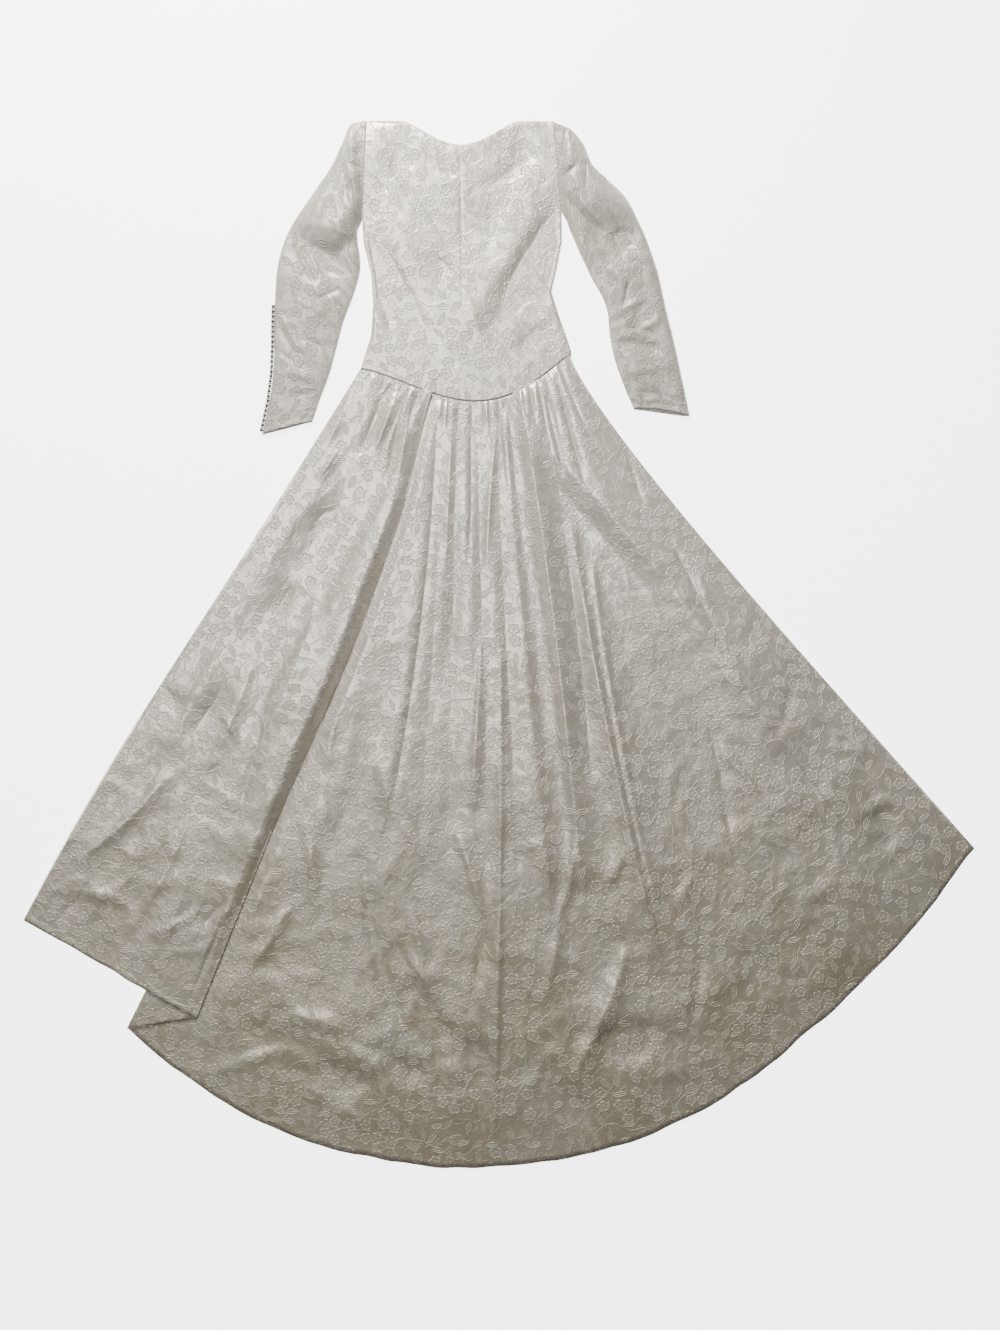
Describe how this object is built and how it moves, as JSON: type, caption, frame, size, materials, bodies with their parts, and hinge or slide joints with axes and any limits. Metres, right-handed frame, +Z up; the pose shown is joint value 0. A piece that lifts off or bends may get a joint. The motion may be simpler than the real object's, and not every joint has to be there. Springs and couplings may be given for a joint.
{
  "type": "wedding dress",
  "caption": "Long-sleeved ivory brocade wedding dress with a gathered skirt and a sweeping train, laid flat with its back up and one large fold in the skirt.",
  "frame": {"origin": "middle of the laid dress's outline, on the surface that it lies on", "axes": "+Y from the train towards the neck, +X to the right as the laid dress is seen from above, +Z up from the surface"},
  "size_m": [1.71, 1.8825, 0.025],
  "materials": {
    "brocade": "ivory satin brocade with a woven tone-on-tone flower pattern",
    "button_satin": "the same satin, stretched over button moulds"
  },
  "bodies": {
    "root": {"bodice_back": "brocade", "bodice_front": "brocade", "skirt_back": "brocade", "skirt_front": "brocade", "sleeve_left": "brocade", "sleeve_right": "brocade", "button_left_01": "button_satin", "button_left_02": "button_satin", "button_left_03": "button_satin", "button_left_04": "button_satin", "button_left_05": "button_satin", "button_left_06": "button_satin", "button_left_07": "button_satin", "button_left_08": "button_satin", "button_left_09": "button_satin", "button_left_10": "button_satin", "button_left_11": "button_satin", "button_left_12": "button_satin", "button_left_13": "button_satin", "button_left_14": "button_satin", "button_left_15": "button_satin", "button_left_16": "button_satin", "button_left_17": "button_satin", "button_left_18": "button_satin", "button_left_19": "button_satin", "button_left_20": "button_satin", "button_left_21": "button_satin", "button_left_22": "button_satin", "button_left_23": "button_satin", "button_left_24": "button_satin", "button_left_25": "button_satin", "button_left_26": "button_satin", "button_right_01": "button_satin", "button_right_02": "button_satin", "button_right_03": "button_satin", "button_right_04": "button_satin", "button_right_05": "button_satin", "button_right_06": "button_satin", "button_right_07": "button_satin", "button_right_08": "button_satin", "button_right_09": "button_satin", "button_right_10": "button_satin", "button_right_11": "button_satin", "button_right_12": "button_satin", "button_right_13": "button_satin", "button_right_14": "button_satin", "button_right_15": "button_satin", "button_right_16": "button_satin", "button_right_17": "button_satin", "button_right_18": "button_satin", "button_right_19": "button_satin", "button_right_20": "button_satin", "button_right_21": "button_satin", "button_right_22": "button_satin", "button_right_23": "button_satin", "button_right_24": "button_satin", "button_right_25": "button_satin", "button_right_26": "button_satin"}
  },
  "joints": []
}
